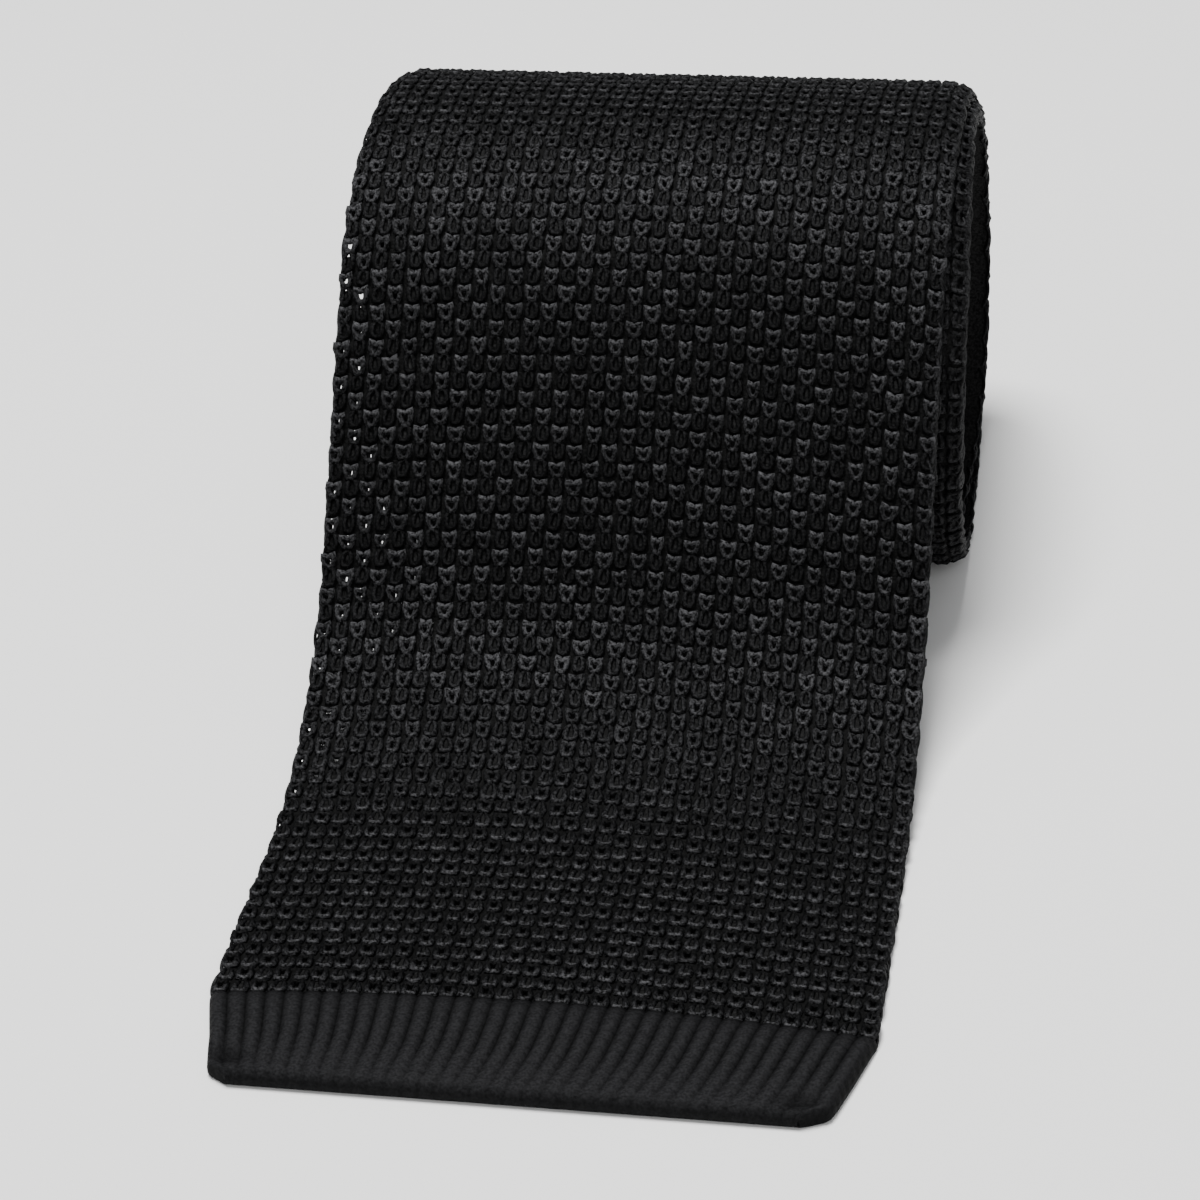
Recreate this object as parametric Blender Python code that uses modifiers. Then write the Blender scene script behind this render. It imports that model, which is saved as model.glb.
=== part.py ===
"""A knit tie, rolled up from its narrow end, with the wide blade running down off the roll to the surface.

One long flat knitted tube makes the tie. Its path is followed from the square hem in front: flat on the
surface, up through a soft bend, along a straight ramp, and then round and round the roll to its middle.
Units are metres and degrees. X runs across the tie, -Y is the front and Z is up. The origin is on the
surface, under the middle of the whole.
"""

import math

import bmesh
import bpy

# Knitted tube, pressed flat
BLADE_WIDTH = 0.065
KNIT_THICKNESS = 0.00145
HEM_LENGTH = 0.0118
HEM_THICKNESS = 0.0022
HEM_ROUNDING = 0.0007
SEAM_BOW = 0.0019  # how far the middle of the front hem's seam lies behind its ends

# Stretch in front of the roll
FLAT_LENGTH = 0.0222
BEND_RADIUS = 0.0379  # of the upper face
RAMP_ANGLE = 53.6

# Roll
ROLL_RADIUS = 0.0273  # of the outer face where the ramp leaves it
TURN_GAP = 0.00025
REST_DEPTH = 0.0008  # how much its own weight flattens each turn where the roll rests
EYE_RADIUS = 0.0025

# Lengths of the pieces along the tie
FRONT_BLADE_LENGTH = 0.400
NECK_LENGTH = 0.480
SEAM_GAP = 0.0003  # between one piece and the next

# Fineness of the solids
ROLL_STEP = 10.0
BLADE_COLUMNS = 6
INNER_COLUMNS = 1
BEND_ROWS = 7
RAMP_ROWS = 3

# Width along the tie. at: share of the whole length from the front hem's seam. width: share of BLADE_WIDTH.
WIDTHS = [
    {"at": 0.00, "width": 1.00},
    {"at": 0.25, "width": 1.00},
    {"at": 0.36, "width": 0.80},
    {"at": 0.44, "width": 0.74},
    {"at": 0.66, "width": 0.74},
    {"at": 0.80, "width": 0.80},
    {"at": 1.00, "width": 0.80},
]

# Sideways wander of the turns. turns: back round the roll from the ramp. shift: share of BLADE_WIDTH.
WANDER = [
    {"turns": 0.0, "shift": 0.000},
    {"turns": 0.5, "shift": 0.019},
    {"turns": 1.0, "shift": 0.038},
    {"turns": 1.6, "shift": 0.026},
    {"turns": 2.4, "shift": 0.010},
    {"turns": 4.0, "shift": -0.012},
    {"turns": 6.5, "shift": 0.010},
    {"turns": 12.0, "shift": 0.000},
]

# How the hem draws in. at: share of the hem from its seam. left, right: share of BLADE_WIDTH taken off.
HEM_INSETS = [
    {"at": 0.0, "left": 0.000, "right": 0.000},
    {"at": 0.5, "left": 0.025, "right": 0.026},
    {"at": 0.8, "left": 0.036, "right": 0.043},
    {"at": 0.93, "left": 0.044, "right": 0.055},
    {"at": 1.0, "left": 0.074, "right": 0.095},
]

# Worked out from the sizes above
PITCH = KNIT_THICKNESS + TURN_GAP
RAMP_TURN = RAMP_ANGLE / 360.0
BOTTOM_TURNS = 0.5 + RAMP_TURN  # from the ramp back over the top to the lowest point
ROLL_HEIGHT = ROLL_RADIUS - PITCH * BOTTOM_TURNS - REST_DEPTH  # of the roll's axis

KNIT_COLOUR = (0.016, 0.017, 0.020, 1.0)


def look_up(table, key, value, column):
    """Reads a column of a table at a value of its key column, straight between the rows."""
    if value <= table[0][key]:
        return table[0][column]
    for low, high in zip(table, table[1:]):
        if value <= high[key]:
            share = (value - low[key]) / (high[key] - low[key])
            return low[column] + share * (high[column] - low[column])
    return table[-1][column]


def ramp_length():
    """Length of the straight ramp, from the heights at which the roll and the bend let it go."""
    slope = math.radians(RAMP_ANGLE)
    top = ROLL_HEIGHT + ROLL_RADIUS * math.cos(slope)
    bottom = KNIT_THICKNESS + BEND_RADIUS * (1.0 - math.cos(slope))
    return (top - bottom) / math.sin(slope)


def front_reach():
    """Distance in Y from the roll's axis forward to the seam of the front hem."""
    slope = math.radians(RAMP_ANGLE)
    return (
        ROLL_RADIUS * math.sin(slope)
        + ramp_length() * math.cos(slope)
        + BEND_RADIUS * math.sin(slope)
        + FLAT_LENGTH
    )


def turn_radius(turns):
    """Radius of the outer face, a number of turns back from the ramp, before it is flattened."""
    return ROLL_RADIUS - PITCH * turns


def rest_level(turns):
    """Distance of the flattened stretch of the nearest turn below the roll's axis."""
    lowest = round(turns - BOTTOM_TURNS) + BOTTOM_TURNS
    return turn_radius(max(lowest, BOTTOM_TURNS)) - REST_DEPTH


def roll_point(turns, depth):
    """Place (y, z) on the roll, a depth under its outer face, with the roll's axis at y = 0."""
    angle = math.radians(RAMP_ANGLE - 360.0 * turns)
    down = -math.cos(angle)
    radius = turn_radius(turns) - depth
    if down > 0.5:
        radius = min(radius, (rest_level(turns) - depth) / down)
    return -radius * math.sin(angle), ROLL_HEIGHT + radius * math.cos(angle)


def last_turn():
    """Number of turns from the ramp to the tie's inner end, where the eye of the roll is left open."""
    return (ROLL_RADIUS - EYE_RADIUS - HEM_THICKNESS) / PITCH


def roll_turns():
    """The turns at which the roll has a row: whole steps of the angle, and the ends of its rests."""
    rows = [0.0, last_turn()]
    first = RAMP_TURN % (ROLL_STEP / 360.0)
    rows += [first + step * ROLL_STEP / 360.0 for step in range(int(last_turn() * 360.0 / ROLL_STEP))]
    for whole in range(int(last_turn())):
        radius = turn_radius(whole + BOTTOM_TURNS)
        half = math.degrees(math.acos((radius - REST_DEPTH) / radius)) / 360.0
        rows += [whole + BOTTOM_TURNS - half, whole + BOTTOM_TURNS + half]
    return sorted(turns for turns in rows if turns <= last_turn())


def tie_path(depth):
    """Rows (y, z, turns) along the tie, a depth under its outer face, from the front hem's seam inwards."""
    slope = math.radians(RAMP_ANGLE)
    level = KNIT_THICKNESS - depth
    seam = -front_reach()
    rows = [(seam, level, 0.0), (seam + FLAT_LENGTH / 2, level, 0.0)]
    centre = (seam + FLAT_LENGTH, KNIT_THICKNESS + BEND_RADIUS)
    for row in range(BEND_ROWS + 1):
        angle = slope * row / BEND_ROWS
        radius = BEND_RADIUS + depth
        rows.append((centre[0] + radius * math.sin(angle), centre[1] - radius * math.cos(angle), 0.0))
    start = rows[-1]
    for row in range(1, RAMP_ROWS):
        along = ramp_length() * row / RAMP_ROWS
        rows.append((start[0] + along * math.cos(slope), start[1] + along * math.sin(slope), 0.0))
    for turns in roll_turns():
        rows.append((*roll_point(turns, depth), turns))
    return rows


def measured(rows):
    """Distance of each row from the first one, along the path."""
    distances = [0.0]
    for low, high in zip(rows, rows[1:]):
        distances.append(distances[-1] + math.dist(low[:2], high[:2]))
    return distances


def stretch(rows, distances, start, end):
    """The rows between two distances along the path, with a row made at each end: (y, z, turns, distance)."""

    def row_at(distance):
        for place in range(len(rows) - 1):
            if distance <= distances[place + 1]:
                break
        low, high = rows[place], rows[place + 1]
        share = (distance - distances[place]) / (distances[place + 1] - distances[place])
        return tuple(a + share * (b - a) for a, b in zip(low, high)) + (distance,)

    inside = [
        (*row, distance) for row, distance in zip(rows, distances) if start + 0.0002 < distance < end - 0.0002
    ]
    return [row_at(start)] + inside + [row_at(end)]


def distance_of(rows, distances, turns):
    """Distance along the path at which it has gone a number of turns round the roll."""
    for low, high, near, far in zip(rows, rows[1:], distances, distances[1:]):
        if low[2] <= turns < high[2]:
            return near + (far - near) * (turns - low[2]) / (high[2] - low[2])
    return distances[-1]


def middle_y():
    """Y of the roll's axis, which puts the origin under the middle of the whole."""
    back = max(row[0] for row in tie_path(0.0)[-len(roll_turns()):])
    return (front_reach() + HEM_LENGTH - back) / 2


def edges(rows, distances):
    """The two edges (left x, right x) of the tie at each row, with the blade's middle line at x = 0."""
    sides = []
    for row, distance in zip(rows, distances):
        half = BLADE_WIDTH * look_up(WIDTHS, "at", distance / distances[-1], "width") / 2
        shift = BLADE_WIDTH * look_up(WANDER, "turns", row[2], "shift")
        sides.append((shift - half, shift + half))
    return sides


def middle_x():
    """X of the blade's middle line, which puts the origin under the middle of the whole."""
    rows = tie_path(0.0)
    sides = edges(rows, measured(rows))
    return -(min(left for left, right in sides) + max(right for left, right in sides)) / 2


def material(name, colour, roughness):
    """A plain matt material."""
    made = bpy.data.materials.new(name)
    made.use_nodes = True
    shader = made.node_tree.nodes["Principled BSDF"]
    shader.inputs["Base Color"].default_value = colour
    shader.inputs["Roughness"].default_value = roughness
    shader.inputs["Metallic"].default_value = 0.0
    return made


def new_collection(name):
    """A collection of the scene, made empty."""
    made = bpy.data.collections.new(name)
    bpy.context.scene.collection.children.link(made)
    return made


def band(name, collection, columns, places, thickness, colour):
    """A flat band of knit: a grid laid on the back face, with a wall that grows to the outer face.

    places holds one row for each cross line of the band: (left x, right x, y, z, bow).
    """
    mesh = bpy.data.meshes.new(name)
    grid = bmesh.new()
    bmesh.ops.create_grid(grid, x_segments=columns, y_segments=len(places) - 1, size=1.0)
    for vertex in grid.verts:
        across = (vertex.co.x + 1.0) / 2
        left, right, y, z, bow = places[round((vertex.co.y + 1.0) / 2 * (len(places) - 1))]
        crown = 1.0 - (2.0 * across - 1.0) ** 2
        vertex.co = (left + across * (right - left), y + bow * crown, z)
    grid.to_mesh(mesh)
    grid.free()
    piece = bpy.data.objects.new(name, mesh)
    piece.data.materials.append(material(name, colour, 0.75))
    collection.objects.link(piece)
    wall = piece.modifiers.new("wall", "SOLIDIFY")
    wall.thickness = thickness
    wall.offset = 1.0
    wall.use_even_offset = True
    return piece


def tie_band(name, collection, columns, rows, whole, thickness):
    """A band along the tie's path, as wide as the tie is there."""
    places = []
    middle = middle_x()
    for y, z, turns, distance in rows:
        half = BLADE_WIDTH * look_up(WIDTHS, "at", distance / whole, "width") / 2
        shift = middle + BLADE_WIDTH * look_up(WANDER, "turns", turns, "shift")
        bow = SEAM_BOW * max(0.0, 1.0 - distance / FLAT_LENGTH)
        places.append((shift - half, shift + half, middle_y() + y, z, bow))
    return band(name, collection, columns, places, thickness, KNIT_COLOUR)


def front_hem(collection):
    """The square hem at the front: the knit folded under, a little thicker, drawn in at its corners."""
    seam = middle_y() - front_reach() - SEAM_GAP
    middle = middle_x()
    places = []
    for row in reversed(HEM_INSETS):
        left = middle + BLADE_WIDTH * (row["left"] - 0.5)
        right = middle + BLADE_WIDTH * (0.5 - row["right"])
        y = seam - row["at"] * (HEM_LENGTH - SEAM_GAP)
        places.append((left, right, y, 0.0, SEAM_BOW * (1.0 - row["at"])))
    piece = band("front_hem", collection, BLADE_COLUMNS, places, HEM_THICKNESS, KNIT_COLOUR)
    fold = piece.modifiers.new("fold", "BEVEL")
    fold.width = HEM_ROUNDING
    fold.segments = 2
    fold.limit_method = "ANGLE"
    fold.angle_limit = math.radians(60)
    return piece


def build():
    """Removes what the scene holds and builds the tie's pieces from the front hem inwards."""
    for old in list(bpy.data.objects):
        bpy.data.objects.remove(old)
    tie = new_collection("knit_tie")
    front_hem(tie)

    rows = tie_path(KNIT_THICKNESS)
    distances = measured(rows)
    whole = distances[-1]
    blade_end = FRONT_BLADE_LENGTH
    neck_end = blade_end + NECK_LENGTH
    tail_end = whole - HEM_LENGTH
    tie_band("front_blade", tie, BLADE_COLUMNS, stretch(rows, distances, 0.0, blade_end), whole, KNIT_THICKNESS)
    neck = stretch(rows, distances, blade_end + SEAM_GAP, neck_end)
    tie_band("neck_band", tie, INNER_COLUMNS, neck, whole, KNIT_THICKNESS)
    tail = stretch(rows, distances, neck_end + SEAM_GAP, tail_end)
    tie_band("tail_blade", tie, INNER_COLUMNS, tail, whole, KNIT_THICKNESS)

    rows = tie_path(HEM_THICKNESS)
    distances = measured(rows)
    tail_seam = distance_of(rows, distances, tail[-1][2])
    hem = stretch(rows, distances, tail_seam + SEAM_GAP, distances[-1])
    tie_band("tail_hem", tie, INNER_COLUMNS, hem, distances[-1], HEM_THICKNESS)


build()
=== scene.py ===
"""Dresses a rolled knit tie: the loops of its knit, the ribbed hem, the edges, the light and the camera.

The knit is made flat and then laid along the path that the tie takes: over the surface, up a bend and a
ramp, and round and round the roll. A place on the flat knit is (across, along, height) in metres: across
from its middle, along from the front hem's seam, and height above the knit's outer face.
"""

from __future__ import annotations

import logging
import math
from dataclasses import dataclass, field
from enum import Enum
from typing import NamedTuple

import bpy
import numpy as np
from mathutils import Matrix, Vector


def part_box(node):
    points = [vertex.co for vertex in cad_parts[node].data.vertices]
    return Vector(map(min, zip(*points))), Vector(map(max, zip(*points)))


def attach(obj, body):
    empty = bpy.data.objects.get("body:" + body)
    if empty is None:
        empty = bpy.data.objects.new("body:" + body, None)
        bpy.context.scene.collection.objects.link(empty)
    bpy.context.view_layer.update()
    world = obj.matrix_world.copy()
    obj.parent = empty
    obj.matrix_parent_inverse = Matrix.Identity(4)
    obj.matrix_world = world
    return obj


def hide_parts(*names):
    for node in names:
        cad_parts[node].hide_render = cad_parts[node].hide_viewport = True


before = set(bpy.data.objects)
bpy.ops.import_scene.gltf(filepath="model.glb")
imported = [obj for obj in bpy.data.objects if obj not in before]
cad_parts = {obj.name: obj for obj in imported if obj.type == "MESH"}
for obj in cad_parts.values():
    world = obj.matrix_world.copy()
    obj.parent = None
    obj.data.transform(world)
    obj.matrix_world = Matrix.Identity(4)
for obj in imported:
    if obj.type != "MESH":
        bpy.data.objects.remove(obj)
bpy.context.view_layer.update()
LOG = logging.getLogger("knit_tie")

BODY = "root"
LOOP_SLOT = "loop_knit"
RIB_SLOT = "ribbed_knit"
FLOOR_NAME = "pale_surface"
# Each vertex's tone is a random tone of its own, times painted light and shade
TONE = "tone"  # the attribute that holds each vertex's lightness

# Metres by which the lowest faces stay above the floor
FLOOR_CLEARANCE = 0.00005

# Where the random draws start for the loops, the arcs and the open eyes
LOOP_SEED = 9
ARC_SEED = 31
EYE_SEED = 5


class Face(Enum):
    """The two faces of the pressed knitted tube."""

    OUTER = "outer"
    BACK = "back"


class Side(Enum):
    """The two long edges of the tie, by the sign of x."""

    LEFT = -1
    RIGHT = 1


class YarnPoint(NamedTuple):
    """A point that a yarn passes through.

    Across is a share of a wale and along a share of a course. Height and radius are shares of the yarn's
    radius.
    """

    across: float
    along: float
    height: float
    radius: float


def look_up(rows: tuple[tuple[float, ...], ...], column: int, at: np.ndarray | float) -> np.ndarray:
    """Reads a column of a short table, straight between its rows.

    Args:
        rows: the table's rows, whose first column rises.
        column: number of the column that is read.
        at: values of the first column.

    Returns:
        The column's value at each of them.
    """
    return np.interp(at, [row[0] for row in rows], [row[column] for row in rows])


def select_only(*things: bpy.types.Object) -> None:
    """Deselects everything, then selects these objects and makes the first one active.

    Args:
        things: the objects.
    """
    bpy.ops.object.select_all(action="DESELECT")
    for thing in things:
        thing.select_set(True)
    bpy.context.view_layer.objects.active = things[0]


def apply_modifier(thing: bpy.types.Object, kind: str, **settings: object) -> None:
    """Adds a modifier to an object and applies it.

    Args:
        thing: the object.
        kind: the modifier's type.
        settings: its values.
    """
    select_only(thing)
    modifier = thing.modifiers.new(kind.lower(), kind)
    for name, value in settings.items():
        setattr(modifier, name, value)
    bpy.ops.object.modifier_apply(modifier=modifier.name)


def repeat(thing: bpy.types.Object, count: int, step: tuple[float, float, float]) -> None:
    """Repeats an object's mesh along a line, with an Array modifier that is applied.

    Args:
        thing: the object.
        count: how many there are in the end.
        step: from one to the next.
    """
    apply_modifier(
        thing,
        "ARRAY",
        count=count,
        use_relative_offset=False,
        use_constant_offset=True,
        constant_offset_displace=step,
    )


def join(*things: bpy.types.Object) -> bpy.types.Object:
    """Joins objects into the first one.

    Args:
        things: the objects.

    Returns:
        The first one.
    """
    select_only(*things)
    bpy.ops.object.join()
    return things[0]


def points_of(thing: bpy.types.Object) -> np.ndarray:
    """The places of an object's vertices, one row each.

    Args:
        thing: the object.

    Returns:
        The places.
    """
    points = np.empty(len(thing.data.vertices) * 3, np.float32)
    thing.data.vertices.foreach_get("co", points)
    return points.reshape(-1, 3).astype(float)


def move_points(thing: bpy.types.Object, points: np.ndarray) -> None:
    """Moves an object's vertices to the places in an array."""
    thing.data.vertices.foreach_set("co", points.astype(np.float32).ravel())
    thing.data.update()


def set_tone(thing: bpy.types.Object, tone: np.ndarray) -> None:
    """Gives each vertex a lightness, which the materials read.

    Args:
        thing: the object.
        tone: a lightness for each of its vertices.
    """
    if TONE not in thing.data.attributes:
        thing.data.attributes.new(TONE, "FLOAT", "POINT")
    thing.data.attributes[TONE].data.foreach_set("value", tone.astype(np.float32))


def turn_inside_out(thing: bpy.types.Object) -> None:
    """Turns an object's faces round.

    Args:
        thing: the object.
    """
    select_only(thing)
    bpy.ops.object.mode_set(mode="EDIT")
    bpy.ops.mesh.select_all(action="SELECT")
    bpy.ops.mesh.flip_normals()
    bpy.ops.object.mode_set(mode="OBJECT")


def dress(
    thing: bpy.types.Object, name: str, node: str, material: bpy.types.Material
) -> bpy.types.Object:
    """Names a finished piece, gives it its material and ties it to the part's body.

    Args:
        thing: the piece.
        name: its name.
        node: the solid that it stands for.
        material: its material.

    Returns:
        The piece.
    """
    thing.name = name
    thing.data.name = name
    thing.data.materials.clear()
    thing.data.materials.append(material)
    select_only(thing)
    bpy.ops.object.shade_smooth()
    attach(thing, BODY)
    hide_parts(node)
    LOG.info("%s: %d faces", name, len(thing.data.polygons))
    return thing


@dataclass(frozen=True)
class Knit:
    """Gauge of the knit.

    Attributes:
        width: the wide blade's.
        wales: columns of stitches across it.
        course: length of one row of stitches.
        yarn: radius of the yarn.
        thickness: the cloth's.
    """

    width: float = 0.065
    wales: int = 35
    course: float = 0.00189
    yarn: float = 0.00030
    thickness: float = 0.00145

    @property
    def wale(self) -> float:
        """Width of one column of stitches."""
        return self.width / self.wales


@dataclass(frozen=True)
class TiePath:
    """The way the tie takes, seen from its side, with the same sizes as the solids.

    Attributes:
        knit: the gauge.
        middle_x: x of the blade's middle.
        axis_y: y of the roll's axis.
        flat: length of the flat stretch, from the seam to the bend.
        bend_radius: radius of the bend's outer face.
        slope: angle of the ramp.
        roll_radius: radius of the roll's outer face where the ramp meets it.
        turn_gap: gap between two turns.
        rest_depth: how far the roll is pressed flat where it rests.
        hem_length: length of both hems.
        hem_thickness: thickness of both hems.
        eye_radius: radius of the hollow in the middle of the roll.
        curl_reach: how far in the curl of the long edges reaches, as a share of half the width.
        pressed_within: cosine of the angle from straight down within which a turn may be pressed flat.
        face_depth: how deep the cloth is raised with its face, as a share of its thickness.
    """

    knit: Knit
    middle_x: float
    axis_y: float
    flat: float = 0.0222
    bend_radius: float = 0.0379
    slope: float = math.radians(53.6)
    roll_radius: float = 0.0273
    turn_gap: float = 0.00025
    rest_depth: float = 0.0008
    hem_length: float = 0.0118
    hem_thickness: float = 0.0022
    eye_radius: float = 0.0025
    # share of the tie's length, share of the blade's width
    widths: tuple = ((0, 1), (0.25, 1), (0.36, 0.80), (0.44, 0.74), (0.66, 0.74), (0.80, 0.80), (1, 0.80))
    # turns, sideways shift as a share of the blade's width
    wander: tuple = (
        (0, 0), (0.5, 0.018), (0.9, 0.035), (1, 0.037), (1.15, 0.022), (1.3, 0.018), (1.5, 0.024),
        (1.75, 0.022), (2.4, 0.008), (4, -0.012), (6.5, 0.010), (12, 0),
    )
    # metres along, how far the middle of a course lies ahead of its ends
    bows: tuple = ((0, 0.0019), (0.03, 0.0017), (0.08, 0.0014), (0.12, 0.0002), (0.16, 0))
    # metres along, the loops' height there as a share of their full one, how far the whole face is raised
    lifts: tuple = (
        (0, 0.6, 0), (0.03, 0.7, 0), (0.055, 1, 0), (0.08, 1, 0), (0.10, 0.5, 0.0002), (0.115, 0.4, 0.0003),
        (1, 0.4, 0.0003),
    )
    # metres along, how far the long edges curl down
    curls: tuple = ((0, 0), (0.06, 0.0001), (0.09, 0.0006), (0.11, 0.0013), (0.2, 0.0012), (0.3, 0.0008))
    curl_reach: float = 0.09
    pressed_within: float = 0.5
    face_depth: float = 0.6

    @classmethod
    def around(cls, knit: Knit) -> TiePath:
        """The path that lies where the blade's solid is.

        Args:
            knit: the gauge.

        Returns:
            The path.
        """
        trial = cls(knit, 0.0, 0.0)
        low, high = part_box("front_blade")
        # The roll reaches furthest back a quarter turn past its top
        reach = trial.roll_radius - trial.pitch * (0.25 + trial.slope / math.tau)
        return cls(knit, low.x + knit.width / 2, high.y - reach)

    @property
    def pitch(self) -> float:
        """Distance from one turn of the roll to the next."""
        return self.knit.thickness + self.turn_gap

    @property
    def bottom_turns(self) -> float:
        """Turns from the ramp back over the top to the lowest point of the roll."""
        return 0.5 + self.slope / math.tau

    @property
    def axis_z(self) -> float:
        """Height of the roll's axis."""
        return self.roll_radius - self.pitch * self.bottom_turns - self.rest_depth

    @property
    def bend(self) -> float:
        """Length of the bend, on the outer face."""
        return self.bend_radius * self.slope

    @property
    def ramp(self) -> float:
        """Length of the straight ramp.

        Returns:
            The length.
        """
        top = self.axis_z + self.roll_radius * math.cos(self.slope)
        bottom = self.knit.thickness + self.bend_radius * (1.0 - math.cos(self.slope))
        return (top - bottom) / math.sin(self.slope)

    @property
    def open_length(self) -> float:
        """Length in front of the roll, from the hem's seam to where the ramp meets the roll."""
        return self.flat + self.bend + self.ramp

    @property
    def seam_y(self) -> float:
        """Y of the front hem's seam."""
        reach = (self.roll_radius + self.bend_radius) * math.sin(self.slope)
        return self.axis_y - reach - self.ramp * math.cos(self.slope) - self.flat

    @property
    def last_turn(self) -> float:
        """Turns from the ramp to the tie's inner end."""
        return (self.roll_radius - self.eye_radius - self.hem_thickness) / self.pitch

    def back_length(self, turns: float | np.ndarray) -> float | np.ndarray:
        """Length along the back face, from the front seam to a number of turns round the roll.

        Args:
            turns: the number of turns.

        Returns:
            The length.
        """
        front = self.flat + (self.bend_radius + self.knit.thickness) * self.slope + self.ramp
        inner = self.roll_radius - self.knit.thickness
        return front + math.tau * (inner * turns - self.pitch * turns**2 / 2)

    def turns_at(self, back_length: float) -> float:
        """Number of turns at a length along the back face.

        Args:
            back_length: the length.

        Returns:
            The number.
        """
        inner = self.roll_radius - self.knit.thickness
        rolled = back_length - self.back_length(0.0)
        return (inner - math.sqrt(max(inner**2 - self.pitch * rolled / math.pi, 0.0))) / self.pitch

    def along_at(self, turns: float) -> float:
        """Length along the outer face at a number of turns."""
        return self.open_length + math.tau * (self.roll_radius * turns - self.pitch * turns**2 / 2)

    def turns(self, along: np.ndarray) -> np.ndarray:
        """Number of turns at each length along the outer face, 0 in front of the roll.

        Args:
            along: the lengths.

        Returns:
            The numbers.
        """
        rolled = np.maximum(along - self.open_length, 0.0)
        inside = np.maximum(self.roll_radius**2 - self.pitch * rolled / math.pi, 0.0)
        return (self.roll_radius - np.sqrt(inside)) / self.pitch

    def open_outline(self, along: np.ndarray) -> tuple[np.ndarray, np.ndarray]:
        """Places (y, z) and outward directions of the outer face in front of the roll.

        Args:
            along: lengths from the front seam.

        Returns:
            The places and the directions, a row for each length.
        """
        angle = np.clip(along - self.flat, 0.0, self.bend) / self.bend_radius
        out = np.column_stack([-np.sin(angle), np.cos(angle)])
        ahead = np.column_stack([np.cos(angle), np.sin(angle)])
        centre = np.array([self.seam_y + self.flat, self.knit.thickness + self.bend_radius])
        straight = np.minimum(along - self.flat, 0.0) + np.maximum(along - self.flat - self.bend, 0.0)
        return centre - self.bend_radius * out + straight[:, None] * ahead, out

    def rolled_outline(self, along: np.ndarray) -> tuple[np.ndarray, np.ndarray]:
        """Places (y, z) and outward directions of the outer face in the roll, pressed flat where it rests.

        Args:
            along: lengths from the front seam.

        Returns:
            The places and the directions, a row for each length.
        """
        turns = self.turns(along)
        angle = self.slope - math.tau * turns
        radius = self.roll_radius - self.pitch * turns
        down = np.maximum(-np.cos(angle), self.pressed_within)
        lowest = np.maximum(np.round(turns - self.bottom_turns), 0.0) + self.bottom_turns
        level = (self.roll_radius - self.pitch * lowest - self.rest_depth) / down
        pressed = (level < radius) & (-np.cos(angle) > self.pressed_within)
        out = np.column_stack([-np.sin(angle), np.cos(angle)])
        place = np.array([self.axis_y, self.axis_z]) + np.where(pressed, level, radius)[:, None] * out
        out[pressed] = (0.0, -1.0)
        return place, out

    def half_width(self, along: np.ndarray) -> np.ndarray:
        """Half of the tie's width at each length along it.

        Args:
            along: the lengths.

        Returns:
            The half widths.
        """
        share = self.back_length(self.turns(along)) / self.back_length(self.last_turn)
        share = np.where(along < self.open_length, 0.0, share)
        return self.knit.width * look_up(self.widths, 1, share) / 2

    def lay(self, thing: bpy.types.Object) -> bpy.types.Object:
        """Lays a piece of flat knit along the path.

        Args:
            thing: the piece, whose across runs over the blade's full width also where the tie is narrower.

        Returns:
            The piece.
        """
        flat = points_of(thing)
        share = flat[:, 0] / (self.knit.width / 2)
        bow = look_up(self.bows, 1, flat[:, 1])
        along = flat[:, 1] + bow * np.maximum(1.0 - share**2, 0.0)
        rolled = along > self.open_length
        place, out = self.open_outline(along)
        place_rolled, out_rolled = self.rolled_outline(along)
        place[rolled] = place_rolled[rolled]
        out[rolled] = out_rolled[rolled]
        middle = self.middle_x + self.knit.width * look_up(self.wander, 1, self.turns(along))
        height = np.where(flat[:, 2] > 0.0, look_up(self.lifts, 1, along), 1.0) * flat[:, 2]
        raised = flat[:, 2] > -self.face_depth * self.knit.thickness
        height += np.where(raised, look_up(self.lifts, 2, along), 0.0)
        curl = np.clip((np.abs(share) - 1.0) / self.curl_reach + 1.0, 0.0, None) ** 2
        height -= look_up(self.curls, 1, along) * curl
        yz = place + height[:, None] * out
        x = middle + share * self.half_width(along)
        move_points(thing, np.column_stack([x, yz[:, 0], np.maximum(yz[:, 1], FLOOR_CLEARANCE)]))
        return thing


class ShaderTree:
    """A material's nodes, made one after another and linked as they are made."""

    def __init__(self, name: str) -> None:
        """Starts a material with a Principled shader.

        Args:
            name: the material's name.
        """
        self.material = bpy.data.materials.new(name)
        self.material.use_nodes = True
        self.nodes = self.material.node_tree.nodes
        self.link = self.material.node_tree.links.new
        self.shader = self.nodes["Principled BSDF"].inputs

    def add(self, kind: str, **values: object) -> bpy.types.Node:
        """Adds a node and sets its properties.

        Args:
            kind: the node's type.
            values: its properties.

        Returns:
            The node.
        """
        node = self.nodes.new(kind)
        for name, value in values.items():
            setattr(node, name, value)
        return node

    def multiply_add(
        self, value: bpy.types.NodeSocket, factor: float, more: bpy.types.NodeSocket | float
    ) -> bpy.types.NodeSocket:
        """Adds a Math node for a value times a factor and something more.

        Args:
            value: the value's socket.
            factor: the factor.
            more: a socket or a number.

        Returns:
            Its output.
        """
        node = self.add("ShaderNodeMath", operation="MULTIPLY_ADD")
        self.link(value, node.inputs[0])
        node.inputs[1].default_value = factor
        if isinstance(more, float):
            node.inputs[2].default_value = more
        else:
            self.link(more, node.inputs[2])
        return node.outputs[0]


class Pattern(Enum):
    """The fine patterns of the yarn and the cloth, by the names of their node groups."""

    FILAMENTS = "filaments"
    CHEVRONS = "chevrons"
    FIBRES = "fine_fibres"


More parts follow.
